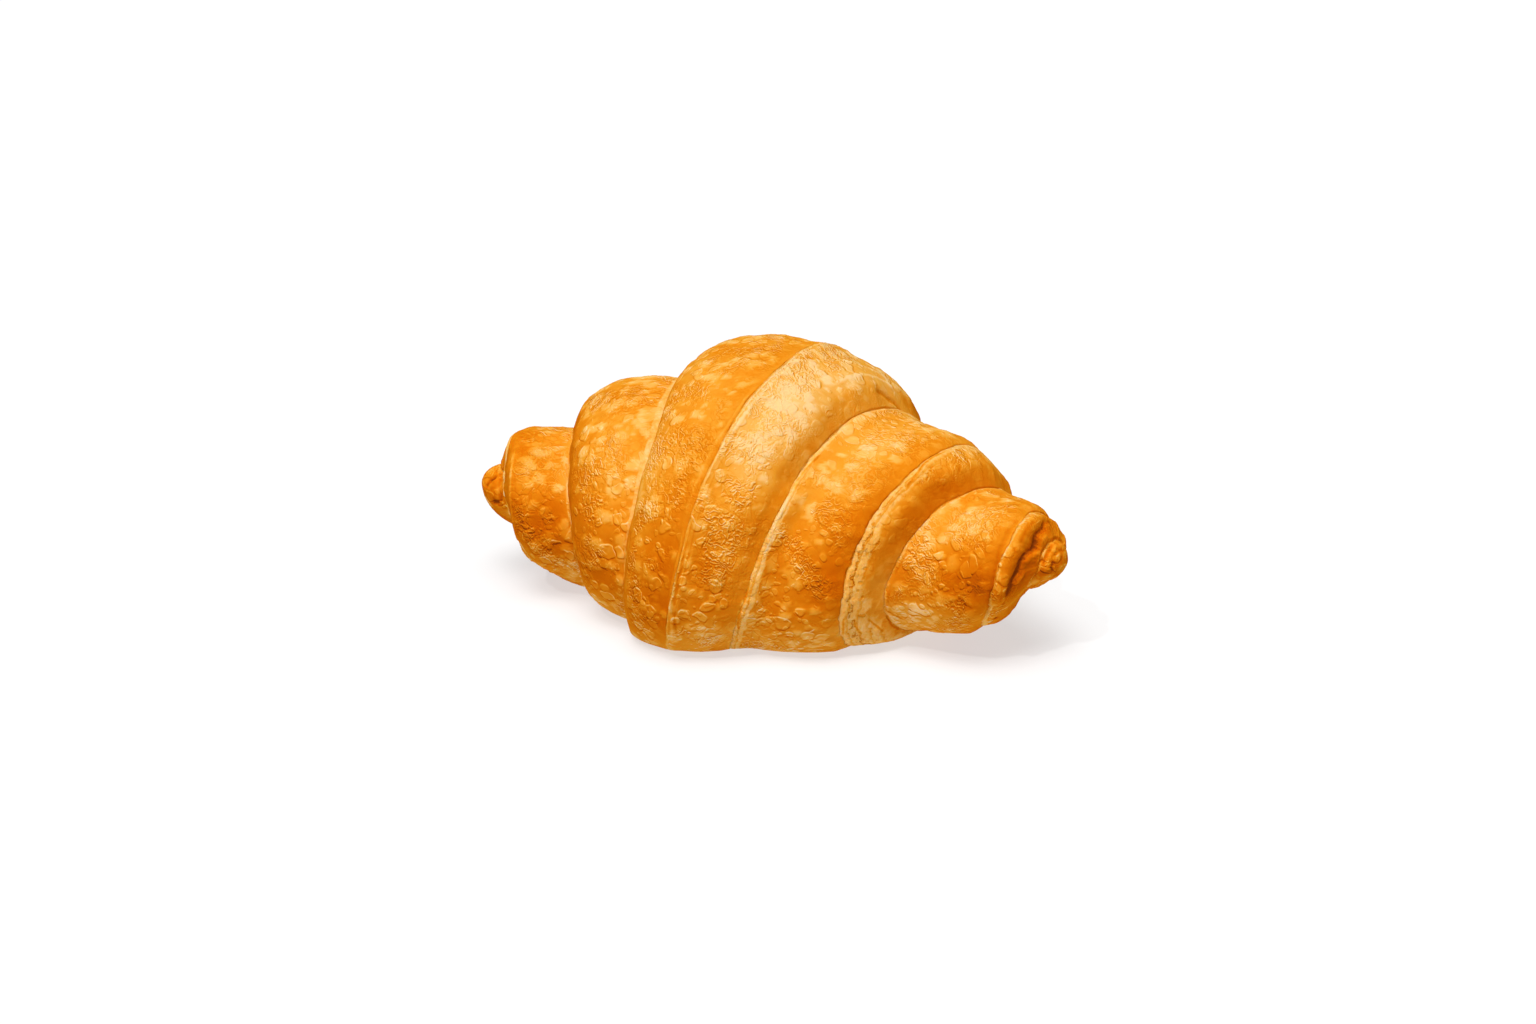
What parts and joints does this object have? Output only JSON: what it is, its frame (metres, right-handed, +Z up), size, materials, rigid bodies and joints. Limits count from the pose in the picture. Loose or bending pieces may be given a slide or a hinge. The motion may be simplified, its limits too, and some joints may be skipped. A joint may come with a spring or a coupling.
{
  "type": "croissant",
  "caption": "Plump baked croissant: a bent spindle of rolled dough, stepped down from a broad middle wrap to a curled nub at each tip.",
  "frame": {"origin": "centre of the bounding box, at the height of the flat underside", "axes": "+X along the roll, towards the tip where the turns end in the larger steps; -Y towards the side that both tips bend to; +Z up"},
  "size_m": [0.1236, 0.0758, 0.0548],
  "materials": {
    "crust": null
  },
  "bodies": {
    "root": {"croissant": "crust"}
  },
  "joints": []
}
